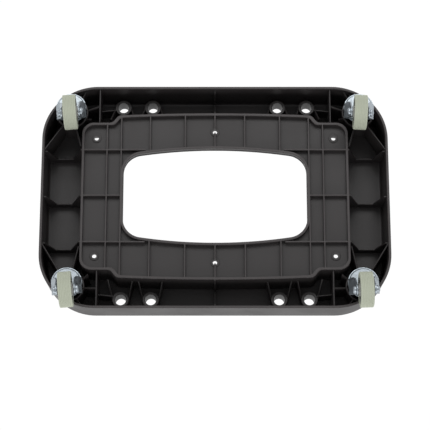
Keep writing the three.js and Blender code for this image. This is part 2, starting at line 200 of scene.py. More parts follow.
@dataclass(frozen=True)
class Finish:
    """A material made of nodes."""

    name: str
    slot: str

    def surface(self, graph: Graph) -> Wire:
        """The surface shader's wire."""
        raise NotImplementedError

    def material(self) -> bpy.types.Material:
        """The finish as a Blender material, made once."""
        found = bpy.data.materials.get(self.name)
        if found:
            return found
        made = bpy.data.materials.new(self.name)
        made.use_nodes = True
        made.node_tree.nodes.clear()
        graph = Graph(made.node_tree)
        graph.node("ShaderNodeOutputMaterial", inputs={"Surface": self.surface(graph)})
        return made


@dataclass(frozen=True)
class Moulded(Finish):
    """Injection-moulded plastic with a spark-eroded mould texture and faint flow clouds, and, where a height is
    given, a painted highlight in patches along the edges below it.
    """

    colour: Colour = (0.05, 0.05, 0.05)
    cloud: Colour = (0.06, 0.06, 0.06)
    roughness: float = 0.5
    grain: float = 0.5
    depth: float = 0.02
    # Height in millimetres below which the edges are lightened as a painted highlight; 0 leaves it out.
    highlight_below: float = 0.0

    def surface(self, graph: Graph) -> Wire:
        """The surface shader's wire."""
        clouds = graph.noise(45.0, 3.0).ramp(0.35, 0.65)
        fine = graph.noise(self.grain, 1.0)
        streaks = graph.noise(1.6, 2.0, (0.12, 1.0, 1.0)).ramp(0.62, 0.8)
        colour = graph.mix(clouds * 0.8, self.colour, self.cloud)
        roughness = self.roughness + (clouds - 0.5) * 0.07 + (fine - 0.5) * 0.16 - streaks * 0.05
        # Painted highlight: the lowest millimetre or so (rib tips and skirt rim) is lightened in patches,
        # standing in for light catching on the rounded edges.
        if self.highlight_below > 0:
            height = graph.node("ShaderNodeSeparateXYZ", inputs={0: graph.place()}, out="Z")
            edge_highlight = (1 - height.ramp((self.highlight_below + 0.3) * MM, (self.highlight_below + 1.1) * MM))
            highlight_patches = edge_highlight * (0.45 + graph.noise(6.0, 4.0) * 0.7)
            colour = graph.mix(highlight_patches, colour, tuple(2.1 * c for c in self.colour))
        normal = graph.bump(fine * 0.75 + clouds * 0.25, self.depth)
        inputs = {"Base Color": colour, "Roughness": roughness, "Normal": normal, "IOR": 1.43}
        return graph.node("ShaderNodeBsdfPrincipled", inputs=inputs)


@dataclass(frozen=True)
class Zinc(Finish):
    """Bright zinc plate on pressed steel: bluish, with press marks and a faint milky bloom."""

    colour: Colour = (0.41, 0.455, 0.49)
    bloom: Colour = (0.35, 0.39, 0.425)
    roughness: float = 0.4

    def surface(self, graph: Graph) -> Wire:
        """The surface shader's wire."""
        cloudy = graph.noise(5.0, 4.0).ramp(0.42, 0.7)
        drawn = graph.noise(2.2, 1.0, (1.0, 1.0, 0.12))
        colour = graph.mix(cloudy * 0.6, self.colour, self.bloom)
        roughness = self.roughness + cloudy * 0.13 + (drawn - 0.5) * 0.12
        normal = graph.bump(drawn * 0.3 + graph.noise(7.0, 1.0) * 0.7, 0.006)
        inputs = {"Base Color": colour, "Metallic": 1.0, "Roughness": roughness, "Normal": normal}
        return graph.node("ShaderNodeBsdfPrincipled", inputs=inputs)


@dataclass(frozen=True)
class Rubber(Finish):
    """Soft non-marking tyre rubber, dusty where it has rolled."""

    colour: Colour = (0.6, 0.62, 0.515)
    dust: Colour = (0.54, 0.555, 0.455)
    roughness: float = 0.62

    def surface(self, graph: Graph) -> Wire:
        """The surface shader's wire."""
        worn = graph.noise(3.5, 5.0).ramp(0.45, 0.75)
        fine = graph.noise(0.35, 1.0)
        colour = graph.mix(worn * 0.55, self.colour, self.dust)
        roughness = self.roughness + worn * 0.12 + (fine - 0.5) * 0.1
        normal = graph.bump(fine * 0.7 + worn * 0.3, 0.03)
        inputs = {"Base Color": colour, "Roughness": roughness, "Normal": normal, "IOR": 1.47}
        return graph.node("ShaderNodeBsdfPrincipled", inputs=inputs)


class Finishes(Enum):
    """The finishes on this object."""

    # The tray's last value, 51 mm, is the height up to which the painted highlight lightens the rib tips and
    # skirt rim.
    TRAY = Moulded("tray_plastic", "moulded_tray", (0.0225, 0.0197, 0.0199), (0.0262, 0.0234, 0.0236), 0.46,
                   0.55, 0.018, 51.0)
    SLEEVE = Moulded("sleeve_plastic", "dark_plastic", (0.025, 0.025, 0.026), (0.03, 0.03, 0.031), 0.5)
    CORE = Moulded("wheel_core_plastic", "wheel_core_plastic", (0.27, 0.28, 0.265), (0.3, 0.31, 0.295), 0.45)
    BUSH = Moulded("bush_plastic", "bush_plastic", (0.66, 0.64, 0.58), (0.7, 0.68, 0.62), 0.35, 0.4, 0.006)
    ZINC = Zinc("zinc_plate", "zinc_steel")
    BALLS = Zinc("ball_steel", "ball_steel", (0.78, 0.79, 0.8), (0.7, 0.71, 0.72), 0.14)
    TYRE = Rubber("tyre_rubber", "tyre_rubber")


# ---- solids


class Solid:
    """A closed mesh, given in millimetres, that can be joined to others or cut by them."""

    def __init__(self, points: Sequence[Point3] = (), faces: Sequence[Sequence[int]] = (),
                 mesh: bpy.types.Mesh | None = None) -> None:
        """Make the mesh, with its faces pointing out, or take one that is already in metres."""
        if mesh is None:
            mesh = bpy.data.meshes.new("solid")
            mesh.from_pydata([tuple(c * MM for c in p) for p in points], [], faces)
            work = bmesh.new()
            work.from_mesh(mesh)
            bmesh.ops.recalc_face_normals(work, faces=work.faces)
            work.to_mesh(mesh)
            work.free()
        self.thing = bpy.data.objects.new("solid", mesh)
        bpy.context.scene.collection.objects.link(self.thing)

    def settle(self) -> "Solid":
        """Turn live modifiers into plain mesh and drop them."""
        seen = self.thing.evaluated_get(bpy.context.evaluated_depsgraph_get())
        old = self.thing.data
        self.thing.data = bpy.data.meshes.new_from_object(seen)
        self.thing.modifiers.clear()
        bpy.data.meshes.remove(old)
        return self

    def drop(self) -> None:
        """Remove the solid from the scene."""
        mesh = self.thing.data
        bpy.data.objects.remove(self.thing)
        bpy.data.meshes.remove(mesh)

    def _combine(self, operation: str, others: Iterable["Solid"]) -> "Solid":
        """Join, cut or keep with other solids, which are used up.

        Args:
            operation: The Boolean modifier's operation.
            others: The other solids.

        Returns:
            This solid.
        """
        for other in others:
            cutter = self.thing.modifiers.new("combine", "BOOLEAN")
            cutter.operation = operation
            cutter.solver = "MANIFOLD"
            cutter.object = other.thing
            self.settle()
            other.drop()
        return self

    def join(self, *others: "Solid") -> "Solid":
        """This solid with the others joined on."""
        return self._combine("UNION", others)

    def cut(self, *others: "Solid") -> "Solid":
        """This solid with the others cut away."""
        return self._combine("DIFFERENCE", others)

    def keep(self, *others: "Solid") -> "Solid":
        """What this solid shares with the others."""
        return self._combine("INTERSECT", others)

    def beside(self, *others: "Solid") -> "Solid":
        """This solid and others that stay clear of it, as one mesh."""
        work = bmesh.new()
        work.from_mesh(self.thing.data)
        for other in others:
            work.from_mesh(other.thing.data)
            other.drop()
        work.to_mesh(self.thing.data)
        work.free()
        return self

    def turned(self, matrix: Matrix) -> "Solid":
        """This solid moved by a matrix in metres."""
        self.thing.data.transform(matrix)
        return self

    def softened(self, width: float, angle: float) -> "Solid":
        """Round the edges that are sharper than an angle.

        Args:
            width: Width of the rounding in millimetres.
            angle: The angle in degrees.

        Returns:
            This solid.
        """
        bevel = self.thing.modifiers.new("round", "BEVEL")
        bevel.width = width * MM
        bevel.segments = 2
        bevel.limit_method = "ANGLE"
        bevel.angle_limit = math.radians(angle)
        return self.settle()


def arc(centre: Point2, radius: float, start: float, end: float, steps: int) -> list[Point2]:
    """Points on an arc.

    Args:
        centre: The arc's centre.
        radius: Its radius.
        start: Its first angle in degrees.
        end: Its last angle in degrees.
        steps: How many chords it has.

    Returns:
        The points, both ends included.
    """
    angles = [math.radians(start + (end - start) * i / steps) for i in range(steps + 1)]
    return [(centre[0] + radius * math.cos(a), centre[1] + radius * math.sin(a)) for a in angles]


def mirrored(quarter: Sequence[Point2]) -> list[Point2]:
    """A full outline from its first quadrant, listed from +X round to +Y."""
    upper = [*quarter, *((-x, y) for x, y in reversed(quarter))]
    return [*upper, *((-x, -y) for x, y in upper)]


def eased(points: Sequence[Point2], radius: float, steps: int = 3, closed: bool = True) -> list[Point2]:
    """An outline with its corners rounded.

    Args:
        points: The outline's corners.
        radius: How far back along each side the rounding starts.
        steps: Chords in each rounding.
        closed: Whether the outline closes on itself.

    Returns:
        The rounded outline.
    """
    count = len(points)
    made: list[Point2] = []
    for i, point in enumerate(points):
        if not closed and i in (0, count - 1):
            made.append(point)
            continue
        here = Vector(point)
        back = Vector(points[i - 1]) - here
        ahead = Vector(points[(i + 1) % count]) - here
        reach = min(radius, back.length * 0.49, ahead.length * 0.49)
        first, last = here + back.normalized() * reach, here + ahead.normalized() * reach
        for k in range(steps + 1):
            t = k / steps
            spot = first * (1 - t) ** 2 + here * 2 * t * (1 - t) + last * t ** 2
            made.append((spot.x, spot.y))
    return made


def loft(rings: Sequence[Sequence[Point3]]) -> Solid:
    """A closed solid through rings that all have the same number of points."""
    count = len(rings[0])
    points = [p for ring in rings for p in ring]
    last = (len(rings) - 1) * count
    faces: list[Sequence[int]] = [list(range(count))[::-1], list(range(last, last + count))]
    for level in range(len(rings) - 1):
        for i in range(count):
            a, b = level * count + i, level * count + (i + 1) % count
            faces.append((a, b, b + count, a + count))
    return Solid(points, faces)


def stack(outline: Callable[[float], list[Point2]], levels: Sequence[Point2]) -> Solid:
    """A solid through an outline at several heights.

    Args:
        outline: Gives the outline for an inset.
        levels: The (inset, height) of each ring, from the bottom up.

    Returns:
        The solid.
    """
    return loft([[(x, y, z) for x, y in outline(inset)] for inset, z in levels])


def quarter_round(radius: float, steps: int = 3) -> list[Point2]:
    """The (inset, rise) pairs that round an edge from a flat face to a wall."""
    angles = [math.radians(90 * i / steps) for i in range(steps + 1)]
    return [(radius * (1 - math.sin(a)), radius * (1 - math.cos(a))) for a in angles]


def bowed(start: Point2, rise: float) -> list[Point2]:
    """Points along a bowed side, from just past its start to just short of its peak at X = 0."""
    x, y = start
    shares = [1 - i / BOW_STEPS for i in range(1, BOW_STEPS)]
    return [(x * share, y + rise * (1 - share * share)) for share in shares]


def lathe(profile: Sequence[Point2], steps: int) -> Solid:
    """A solid of revolution about Z.

    Args:
        profile: (radius, height) points, which start and end on the axis or close on themselves.
        steps: Faces round the axis.

    Returns:
        The solid.
    """
    points: list[Point3] = []
    rows: list[list[int]] = []
    for radius, height in profile:
        if radius < ON_AXIS:
            rows.append([len(points)] * steps)
            points.append((0.0, 0.0, height))
            continue
        rows.append([len(points) + i for i in range(steps)])
        angles = [math.tau * i / steps for i in range(steps)]
        points += [(radius * math.cos(a), radius * math.sin(a), height) for a in angles]
    on_axis = profile[0][0] < ON_AXIS
    pairs = zip(rows, rows[1:] if on_axis else rows[1:] + rows[:1])
    faces = []
    for low, high in pairs:
        for i in range(steps):
            j = (i + 1) % steps
            corners = [low[i], low[j], high[j], high[i]]
            faces.append([c for k, c in enumerate(corners) if c != corners[k - 1]])
    return Solid(points, faces)


def turned_set(profile: Sequence[Point2], steps: int, spots: Iterable[Point2]) -> Solid:
    """The same solid of revolution at several spots that stay clear of each other.

    Args:
        profile: The lathe's profile.
        steps: Faces round each axis.
        spots: Where the axes stand.

    Returns:
        All of them as one mesh.
    """
    made = [lathe(profile, steps).turned(Matrix.Translation((x * MM, y * MM, 0))) for x, y in spots]
    return made[0].beside(*made[1:])


# ---- geometry node trees


class Grown:
    """A mesh grown by a Geometry Nodes tree that is built here and settled into plain mesh."""

    def __init__(self, name: str, finish: Finishes) -> None:
        """Start a tree with a geometry input and output."""
        self.tree = bpy.data.node_groups.new(name, "GeometryNodeTree")
        for end in ("INPUT", "OUTPUT"):
            self.tree.interface.new_socket("Geometry", in_out=end, socket_type="NodeSocketGeometry")
        self.graph = Graph(self.tree)
        self.finish = finish
        self.values: dict[str, float | int] = {}

    def size(self, name: str, value: float | int) -> Wire:
        """A named input of the tree.

        Args:
            name: The input's name.
            value: Its value, in metres or as a count.

        Returns:
            The input's wire.
        """
        kind = "NodeSocketInt" if isinstance(value, int) else "NodeSocketFloat"
        self.tree.interface.new_socket(name, in_out="INPUT", socket_type=kind)
        self.values[name] = value
        return self.graph.node("NodeGroupInput", out=name)

    def finished(self, result: Wire, base: bpy.types.Mesh) -> Solid:
        """Close the tree, run it and settle it.

        Args:
            result: The geometry that the tree makes.
            base: The mesh that it is given.

        Returns:
            The grown solid.
        """
        real = self.graph.node("GeometryNodeRealizeInstances", inputs={"Geometry": result})
        dressed = self.graph.node("GeometryNodeSetMaterial",
                                  inputs={"Geometry": real, "Material": self.finish.value.material()})
        self.graph.node("NodeGroupOutput", inputs={"Geometry": dressed})
        solid = Solid(mesh=base)
        grow = solid.thing.modifiers.new("grow", "NODES")
        grow.node_group = self.tree
        for item in self.tree.interface.items_tree:
            if item.in_out == "INPUT" and item.name in self.values:
                grow[item.identifier] = self.values[item.name]
        solid.settle()
        bpy.data.node_groups.remove(self.tree)
        return solid


def wires_mesh(lines: Iterable[Sequence[Point3]]) -> bpy.types.Mesh:
    """A mesh of bare edges along lines given in millimetres."""
    points: list[Point3] = []
    edges: list[tuple[int, int]] = []
    for line in lines:
        edges += [(len(points) + i, len(points) + i + 1) for i in range(len(line) - 1)]
        points += [tuple(c * MM for c in p) for p in line]
    mesh = bpy.data.meshes.new("wires")
    mesh.from_pydata(points, edges, [])
    return mesh


def swept_bars(lines: Iterable[Sequence[Point3]], width: float, height: float, rounding: float,
               finish: Finishes) -> Solid:
    """Straight bars with rounded edges, swept along lines by Geometry Nodes.

    Args:
        lines: The bars' centre lines, in millimetres.
        width: A bar's level width.
        height: Its upright height.
        rounding: Radius of its edges.
        finish: Its finish.

    Returns:
        All the bars as one mesh.
    """
    grown = Grown("swept_bars", finish)
    graph = grown.graph
    given = graph.node("NodeGroupInput", out="Geometry")
    path = graph.node("GeometryNodeMeshToCurve", inputs={"Mesh": given})
    upright = graph.node("GeometryNodeSetCurveNormal", {"mode": "Z_UP"}, {"Curve": path})
    sides = {"Width": grown.size("Bar width", width * MM), "Height": grown.size("Bar height", height * MM)}
    section = graph.node("GeometryNodeCurvePrimitiveQuadrilateral", inputs=sides)
    rounded = graph.node("GeometryNodeFilletCurve", {"mode": "POLY"},
                         {"Curve": section, "Radius": grown.size("Edge radius", rounding * MM), "Count": 3})
    bars = graph.node("GeometryNodeCurveToMesh", inputs={"Curve": upright, "Profile Curve": rounded,
                                                         "Fill Caps": True})
    return grown.finished(bars, wires_mesh(lines))


def ring_of_balls(count: int, ring: float, ball: float, height: float, finish: Finishes) -> Solid:
    """Balls spaced round a circle by Geometry Nodes.

    Args:
        count: How many balls.
        ring: Radius of the circle through their centres.
        ball: A ball's radius.
        height: Height of their centres.
        finish: Their finish.

    Returns:
        The balls as one mesh.
    """
    grown = Grown("ball_ring", finish)
    graph = grown.graph
    sizes = {"Vertices": grown.size("Balls", count), "Radius": grown.size("Ring radius", ring * MM)}
    circle = graph.node("GeometryNodeMeshCircle", inputs=sizes)
    shape = {"Segments": 12, "Rings": 8, "Radius": grown.size("Ball radius", ball * MM)}
    one = graph.node("GeometryNodeMeshUVSphere", inputs=shape)
    balls = graph.node("GeometryNodeInstanceOnPoints", inputs={"Points": circle, "Instance": one})
    lift = {"Geometry": balls, "Translation": (0, 0, height * MM)}
    return grown.finished(graph.node("GeometryNodeTransform", inputs=lift), wires_mesh([]))


def ring_of_webs(count: int, inner: float, outer: float, thickness: float, width: float,
                 finish: Finishes) -> Solid:
    """Radial webs spaced round an axis by Geometry Nodes.

    Args:
        count: How many webs.
        inner: Radius where they start.
        outer: Radius where they end.
        thickness: Their thickness.
        width: Their width along the axis.
        finish: Their finish.

    Returns:
        The webs as one mesh.
    """
    grown = Grown("web_ring", finish)
    graph = grown.graph
    number, middle = grown.size("Webs", count), grown.size("Middle", (inner + outer) / 2 * MM)
    circle = graph.node("GeometryNodeMeshCircle", inputs={"Vertices": number, "Radius": middle})
    run, thick, wide = (grown.size(name, value * MM) for name, value in
                        (("Run", outer - inner), ("Thickness", thickness), ("Width", width)))
    sides = graph.node("ShaderNodeCombineXYZ", inputs={0: run, 1: thick, 2: wide})
    one = graph.node("GeometryNodeMeshCube", inputs={"Size": sides})
    index = graph.node("GeometryNodeInputIndex")
    turn = graph.node("ShaderNodeCombineXYZ", inputs={2: index * math.tau / number})
    spread = {"Points": circle, "Instance": one, "Rotation": turn}
    return grown.finished(graph.node("GeometryNodeInstanceOnPoints", inputs=spread), wires_mesh([]))


# ---- finishing a piece


def finish_piece(solid: Solid, name: str, finish: Finishes, body: str, node: str) -> None:
    """Name, dress and mount a piece.

    Args:
        solid: The piece's solid, in place.
        name: Its name.
        finish: Its finish.
        body: The body that it rides on.
        node: The CAD node that it stands for.
    """
    thing = solid.thing
    thing.name = thing.data.name = name
    mesh = thing.data
    mesh.materials.clear()
    mesh.materials.append(finish.value.material())
    for polygon in mesh.polygons:
        polygon.material_index = 0
    mesh.shade_smooth()
    mesh.set_sharp_from_angle(angle=SMOOTH_BELOW)
    weigh = thing.modifiers.new("even_shading", "WEIGHTED_NORMAL")
    weigh.keep_sharp = True
    solid.settle()
    thing.data.name = name
    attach(thing, body)
    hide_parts(node)
    LOG.info("%s: %d faces on %s", name, len(thing.data.polygons), body)


# ---- tray


@dataclass
class Well:
    """The recessed well: narrow ends, an S-shaped step and bowed long sides."""

    half_length: float = 153.9
    end_width: float = 88.8
    step_in: float = 122.4
    step_out: float = 108.6
    step_width: float = 98.0
    bow_width: float = 100.4
    corner: float = 13.0
    wall: float = 3.0
    flare: float = 2.0
    floor_top: float = 60.0
    floor_under: float = 57.0

    def outline(self, inset: float) -> list[Point2]:
        """The well's outline, moved inwards."""
        length, width, radius = self.half_length - inset, self.end_width - inset, self.corner - 0.5 * inset
        corner = arc((length - radius, width - radius), radius, 0, 90, 8)
        start = Vector((self.step_in - inset, width))
        end = Vector((self.step_out - inset, self.step_width - inset))
        middle = (start.x + end.x) / 2
        step = []
        for t in (i / STEP_CHORDS for i in range(STEP_CHORDS + 1)):
            x = start.x * (1 - t) ** 3 + 3 * middle * t * (1 - t) + end.x * t ** 3
            y = start.y + (end.y - start.y) * (3 * t * t - 2 * t ** 3)
            step.append((x, y))
        return mirrored([*corner, *step, *bowed(end, self.bow_width - self.step_width)])


@dataclass
class Opening:
    """The opening in the well's floor, with bowed long sides."""

    half_length: float = 105.4
    half_width: float = 50.6
    bow_width: float = 56.8
    corner: float = 23.0
    wall: float = 3.0

    def outline(self, inset: float) -> list[Point2]:
        """The opening's outline, moved inwards, or outwards where the inset is negative."""
        length, radius = self.half_length - inset, self.corner - inset
        corner = arc((length - radius, self.half_width - inset - radius), radius, 0, 84, 14)
        return mirrored([*corner, *bowed(corner[-1], self.bow_width - inset - corner[-1][1])])


@dataclass
class Tray:
    """The moulded tray: skirt, top plate, well, castor bosses, tubes and ribs, in one piece."""

    body: str = "tray"
    node: str = "tray"
    corner: float = 64.0
    wall: float = 3.0
    draft: float = 2.0
    edge_round: float = 4.0
    inner_fillet: float = 3.0
    rib: float = 2.0
    tip_round: float = 0.7
    well: Well = field(default_factory=Well)
    opening: Opening = field(default_factory=Opening)
    short_ribs: tuple[float, ...] = (0.0, 34.4, -34.4, 74.9, -74.9)
    full_ribs: tuple[float, ...] = (108.3, 124.7, -108.3, -124.7)
    corner_rib_start: float = 80.0
    cross_y: float = 55.5
    upright_x: float = 134.0
    shallow: float = 84.0
    drains: tuple[Point2, ...] = ((137.3, 71.1), (-137.3, 71.1), (137.3, -71.1), (-137.3, -71.1), (0, 78.8),
                                  (0, -78.8))
    drain_radius: float = 2.6
    drain_collar: Point2 = (5.4, 0.8)
    tube_x: Point2 = (73.3, 107.7)
    tube_y: float = 117.0
    tube_outer: float = 9.5
    tube_inner: float = 6.2
    tube_low: float = 77.0
    tie: tuple[Point2, Point2] = ((134.0, 111.5), (116.2, 113.4))
    boss_low: float = 61.0
    boss_angles: tuple[float, ...] = (124, 172, 206, 255, 302)
    boss_lengths: tuple[float, ...] = (36, 34, 26, 46, 62)
    castor: Point2 = (167.0, 105.0)

    def __post_init__(self) -> None:
        """Take the tray's outer size from its CAD node."""
        low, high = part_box(self.node)
        self.half_length = (high.x - low.x) / 2 / MM
        self.half_width = (high.y - low.y) / 2 / MM
        self.rim = low.z / MM
        self.top = high.z / MM
        self.centre_y = (high.y + low.y) / 2 / MM
        self.root = self.top - 1
        self.castor_spots = [(sx * self.castor[0], sy * self.castor[1]) for sx, sy in CORNERS]
        self.tube_spots = [(sx * x, sy * self.tube_y) for sx, sy in CORNERS for x in self.tube_x]

    def skirt(self, inset: float) -> list[Point2]:
        """The skirt's outline, moved inwards."""
        centre = (self.half_length - self.corner, self.half_width - self.corner)
        return mirrored(arc(centre, self.corner - inset, 0, 90, 24))

    def rim_round(self, wall: float, radius: float, side: int = 1) -> list[Point2]:
        """The (inset, height) pairs that round a wall's lower edge, inwards, or outwards where side is -1."""
        return [(wall + side * inset, self.rim + rise) for inset, rise in quarter_round(radius)]

    def rounded_rib(self, path: Sequence[Point3]) -> Solid:
        """A drafted rib with a rounded tip.

        Args:
            path: (x, y, tip height) along the rib, in one upright plane.

        Returns:
            The rib's solid.
        """
        along = Vector((path[-1][0] - path[0][0], path[-1][1] - path[0][1])).normalized()
        across = Vector((-along.y, along.x))
        tip, foot, r = self.rib * 0.42, self.rib * 0.55, self.tip_round
        rings = []
        for x, y, low in path:
            section = [(-foot, self.root), *arc((-tip + r, low + r), r, 180, 270, 3),
                       *arc((tip - r, low + r), r, 270, 360, 3), (foot, self.root)]
            rings.append([(x + across.x * t, y + across.y * t, z) for t, z in section])
        return loft(rings)

    def shell(self) -> Solid:
        """Skirt and top plate, with rounded rims."""
        edge, below = 0.8, 1.2
        rounded = reversed(quarter_round(self.edge_round, 6))
        crown = [(self.draft + inset, self.top - rise) for inset, rise in rounded]
        outer = stack(self.skirt, [*self.rim_round(0, edge), *crown])
        under = self.top - self.wall
        flare = [(self.wall - edge - below, self.rim - below), *self.rim_round(self.wall, edge, -1)]
        fillet = quarter_round(self.inner_fillet)
        cove = [(self.wall + self.draft + rise, under - inset) for inset, rise in fillet]
        return outer.cut(stack(self.skirt, [*flare, *cove]))

    def notched_ribs(self) -> Solid:
        """Ribs across the channels: deep at both walls and shallow between."""
        ribs = []
        for side in SIDES:
            for y in (-self.cross_y, 0.0, self.cross_y):
                ends = (self.well.half_length - 1, self.half_length - self.wall)
                ribs.append(self._notched(ends, 13, (side, 0), y))
            ends = (self.well.bow_width - 1, self.half_width - self.wall)
            ribs.append(self._notched(ends, 7, (0, side)))
        return ribs[0].beside(*ribs[1:])

    def _notched(self, ends: Point2, run: float, along: Point2, y: float = 0.0) -> Solid:
        """One notched rib.

        Args:
            ends: Distance of both ends from the middle of the tray.
            run: Length of each gusset.
            along: The direction that it runs in, from the middle.
            y: How far it's moved along Y.

        Returns:
            The rib's solid.
        """
        start, end = ends
        tips = [(start, self.rim + 0.4), (start + 2, self.rim + 0.4), (start + run, self.shallow),
                (end - run, self.shallow), (end - 3, self.rim + 6), (end + 0.6, self.rim + 5)]
        return self.rounded_rib([(along[0] * far, along[1] * far + y, low) for far, low in tips])

    def tubes(self) -> Solid:
        """The tubes under the top plate, without their bores."""
        outer, low = self.tube_outer, self.tube_low
        edge = [(outer - inset, low + rise) for inset, rise in quarter_round(self.tip_round)]
        profile = [(0, low), *edge, (outer, self.root), (0, self.root)]
        return turned_set(profile, 40, self.tube_spots)

    def tube_ribs(self) -> list[Solid]:
        """Gussets beside the tubes and ties to the cross ribs, in sets that stay clear of each other."""
        at_well, at_tube, well_z = 14, 9, 63.0
        wall_y = self.well.step_width - 1
        sets = []
        for side in SIDES:
            sets.append([self.rounded_rib([(x + side * at_well, math.copysign(wall_y, y), well_z),
                                           (x + side * at_tube, y, self.tube_low + 1)])
                         for x, y in self.tube_spots])
        sets.append([self.rounded_rib([(sx * x, sy * y, self.tube_low - 2) for x, y in self.tie])
                     for sx, sy in CORNERS])
        reach = (self.well.end_width - 1, self.half_width - self.wall + 0.6)
        sets.append([self.rounded_rib([(sx * self.upright_x, sy * y, self.rim + 2) for y in reach])
                     for sx, sy in CORNERS])
        return [family[0].beside(*family[1:]) for family in sets]

    def bosses(self) -> list[Solid]:
        """The castor bosses: rings, ribs and socket tubes."""
        low, inner, outer = self.boss_low, 17.0, 19.0
        wall = [(inner, self.root), (inner, low + 0.6), (inner + 0.4, low), (outer - 0.4, low),
                (outer, low + 0.6), (outer, self.root)]
        socket = [(0, 52.2), (9.4, 52.2), (10.0, 52.8), (10.0, self.root), (0, self.root)]
        sets = [turned_set(wall, 56, self.castor_spots)]
        for angle, length in zip(self.boss_angles, self.boss_lengths):
            local = math.radians(angle)
            fan = []
            for x, y in self.castor_spots:
                along = Vector((math.copysign(1, x) * math.cos(local), math.copysign(1, y) * math.sin(local)))
                start, end = Vector((x, y)) + along * 18, Vector((x, y)) + along * length
                fan.append(self.rounded_rib([(*start, low), (*end, self.rim + 2)]))
            sets.append(fan[0].beside(*fan[1:]))
        return [*sets, turned_set(socket, 40, self.castor_spots)]

    def panel_ribs(self) -> list[Solid]:
        """Ribs under the well's floor, one set each way, the wall round the opening and the drains' collars."""
        low, high = self.rim, self.well.floor_under + 1
        middle = (low + high) / 2
        reach, near = self.well.bow_width, self.opening.half_width
        upright = [[(x, side * near, middle), (x, side * reach, middle)]
                   for x in self.short_ribs for side in SIDES]
        upright += [[(x, -reach, middle), (x, reach, middle)] for x in self.full_ribs]
        corner, end = self.corner_rib_start, self.well.half_length
        starts = ((self.opening.half_length, 0), (corner, self.cross_y), (corner, -self.cross_y))
        level = [[(side * start, y, middle), (side * end, y, middle)] for side in SIDES for start, y in starts]
        bars = [swept_bars(lines, self.rib * 0.9, high - low, self.tip_round, Finishes.TRAY)
                for lines in (upright, level)]
        lip = self.rim_round(-self.opening.wall, self.tip_round)
        edge = stack(self.opening.outline, [*lip, (-self.opening.wall, high)])
        radius, height = self.drain_collar
        foot = self.well.floor_under - height
        ring = [(0, foot), (radius - 0.3, foot), (radius, foot + 0.3), (radius, high), (0, high)]
        return [*bars, edge, turned_set(ring, 28, self.drains)]

    def holes(self) -> Solid:
        """What is cut right through: drains, tube bores and castor sockets."""
        through = [(0, 50), (self.drain_radius, 50), (self.drain_radius, 62), (0, 62)]
        r, low, top = self.tube_inner, self.tube_low, self.top
        bore = [(0, 60), (r + 0.7, 60), (r + 0.7, low), (r + 0.2, low + 0.3), (r, low + 0.8), (r, top - 0.5),
                (r + 0.5, top + 0.01), (r + 0.5, top + 2), (0, top + 2)]
        socket = [(0, 50), (7.9, 50), (7.9, 52.2), (7.3, 52.9), (7.3, 90), (0, 90)]
        drains = turned_set(through, 28, self.drains)
        return drains.beside(turned_set(bore, 40, self.tube_spots), turned_set(socket, 32, self.castor_spots))

    def build(self) -> None:
        """Make, dress and mount the tray."""
        well, edge, below, near_top = self.well, self.tip_round, 1.2, self.top - 0.9
        inside = stack(self.skirt, [(1, self.rim - 1), (1 + self.draft, near_top)])
        features = self.tubes().join(*self.bosses(), *self.tube_ribs(), self.notched_ribs()).keep(inside)
        basin = stack(well.outline, [*self.rim_round(0, edge), (0, near_top)])
        rim_edge = [(well.wall - rise, self.top - inset) for inset, rise in quarter_round(well.flare)]
        space = stack(well.outline, [(well.wall + 1.8, well.floor_top), (well.wall + 1.1, well.floor_top + 0.5),
                                     (well.wall + 1.0, well.floor_top + 1.4), *rim_edge,
                                     (well.wall - well.flare, self.top + 1)])
        pocket = stack(well.outline, [(well.wall - edge - below, self.rim - below),
                                      *self.rim_round(well.wall, edge, -1), (well.wall, well.floor_under)])
        ribs = self.panel_ribs()
        kept = stack(well.outline, [(1, self.rim - 1), (1, well.floor_under + 1)])
        panel = ribs[0].join(*ribs[1:]).keep(kept)
        mouth = [(-edge - below, self.rim - below), *self.rim_round(0, edge, -1)]
        mouth += [(inset - edge, well.floor_top - edge - rise) for inset, rise in reversed(quarter_round(edge))]
        mouth.append((-edge - below, well.floor_top + below))
        tray = self.shell().join(basin, features).cut(space, pocket).join(panel)
        tray.cut(stack(self.opening.outline, mouth), self.holes())
        tray.turned(Matrix.Translation((0, self.centre_y * MM, 0)))
        finish_piece(tray, "tray_moulding", Finishes.TRAY, self.body, self.node)


# ---- castors


